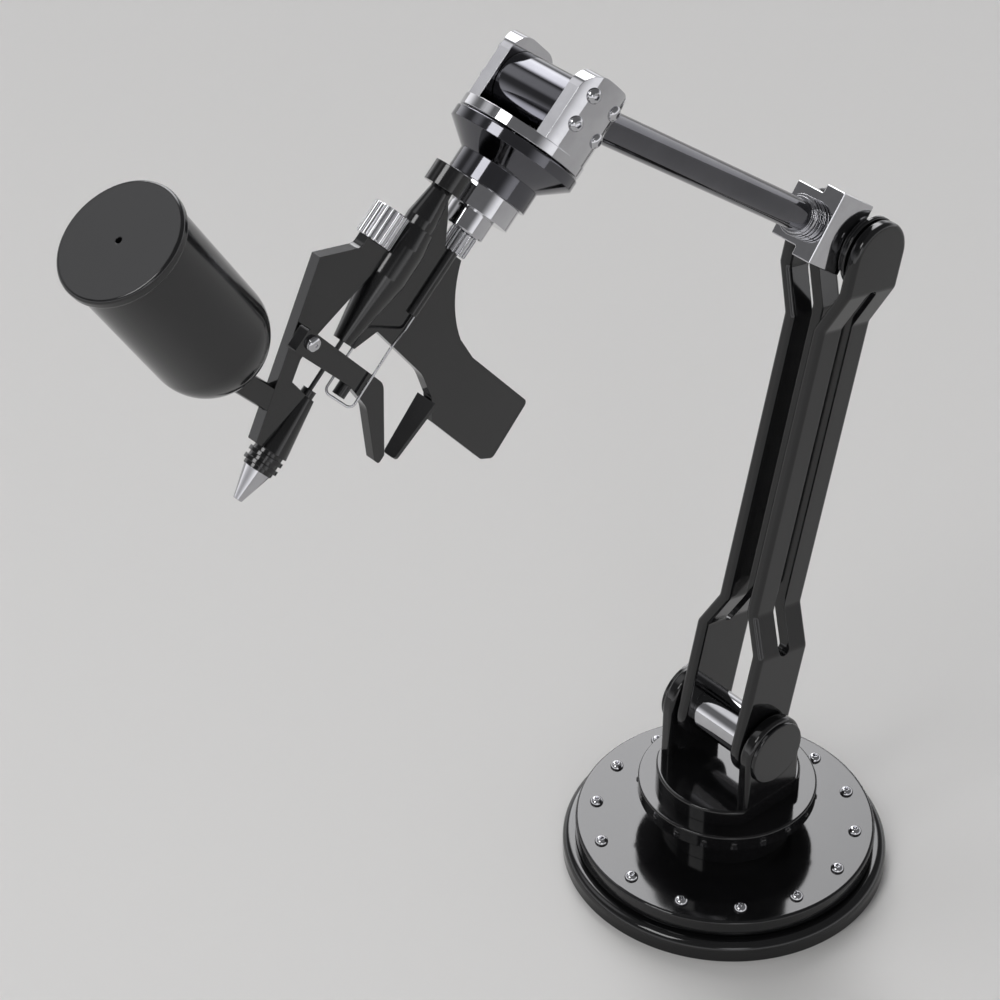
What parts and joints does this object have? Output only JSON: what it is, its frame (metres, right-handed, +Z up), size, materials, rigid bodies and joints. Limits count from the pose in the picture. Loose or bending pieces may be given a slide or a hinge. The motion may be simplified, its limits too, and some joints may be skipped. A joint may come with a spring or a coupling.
{
  "type": "spray-painting industrial robot arm",
  "caption": "Floor-bolted robot arm with a turntable, cranked two-plate arm, tube forearm and yoke wrist that carries a gravity-cup spray gun.",
  "frame": {"origin": "centre of the base's underside", "axes": "+Z up, +X the way the arm reaches, +Y along the joint pins"},
  "size_m": [0.6919, 0.26, 0.8192],
  "materials": {
    "black_enamel": "gloss",
    "black_aluminium": "gloss anodised",
    "chrome_steel": "polished"
  },
  "bodies": {
    "base": {"base_disc": "black_enamel", "base_flange": "black_enamel", "base_neck": "black_enamel"},
    "turntable": {"turntable_collar": "black_enamel", "turntable_drum": "black_enamel", "shoulder_ear_near": "black_enamel", "shoulder_ear_far": "black_enamel", "axle_cap_near": "black_enamel", "axle_cap_far": "black_enamel"},
    "lower_arm": {"arm_plate_near": "black_enamel", "arm_plate_far": "black_enamel", "shoulder_axle": "chrome_steel", "elbow_pin": "chrome_steel"},
    "forearm": {"elbow_block": "chrome_steel", "elbow_cheek_near": "black_enamel", "elbow_cheek_far": "black_enamel", "tube_collar": "chrome_steel", "forearm_tube": "black_enamel", "wrist_barrel": "black_enamel"},
    "wrist": {"wrist_yoke": "chrome_steel", "wrist_pin": "chrome_steel"},
    "tool": {"tool_flange": "black_enamel", "gun_coupling": "chrome_steel", "gun_collar": "black_aluminium", "gun_body": "black_aluminium", "gun_nozzle": "black_aluminium", "gun_air_cap": "black_aluminium", "gun_tip": "chrome_steel", "gun_needle": "black_aluminium", "gun_wedge": "black_aluminium", "gun_handle": "black_aluminium", "fan_knob": "chrome_steel", "fluid_knob": "chrome_steel", "needle_tube": "black_aluminium", "return_wire": "chrome_steel", "finger_guard": "black_aluminium", "trigger_pin": "chrome_steel", "cup_neck": "black_aluminium", "paint_cup": "black_aluminium", "cup_lid": "black_aluminium"},
    "trigger": {"gun_trigger": "black_aluminium", "trigger_post": "black_aluminium"}
  },
  "joints": [
    {"name": "base_swivel", "type": "hinge", "parent": "base", "child": "turntable", "pos_m": [0, 0, 0.061], "axis": [0, 0, 1], "range_deg": [-170, 170]},
    {"name": "shoulder_lean", "type": "hinge", "parent": "turntable", "child": "lower_arm", "pos_m": [0, 0, 0.133], "axis": [0, 1, 0], "range_deg": [-28, 62]},
    {"name": "elbow_lift", "type": "hinge", "parent": "lower_arm", "child": "forearm", "pos_m": [-0.09068, 0, 0.539], "axis": [0, -1, 0], "range_deg": [-26, 55]},
    {"name": "wrist_lift", "type": "hinge", "parent": "forearm", "child": "wrist", "pos_m": [0.20377, 0, 0.76553], "axis": [0, -1, 0], "range_deg": [-18, 80]},
    {"name": "tool_roll", "type": "hinge", "parent": "wrist", "child": "tool", "pos_m": [0.22742, 0, 0.74397], "axis": [0.7389, 0, -0.6738], "range_deg": [-90, 90]},
    {"name": "trigger_pull", "type": "hinge", "parent": "tool", "child": "trigger", "pos_m": [0.40689, 0, 0.68181], "axis": [0, 1, 0], "range_deg": [0, 10], "stiffness_Nm_per_rad": 0.8, "springref_deg": -20.05}
  ]
}
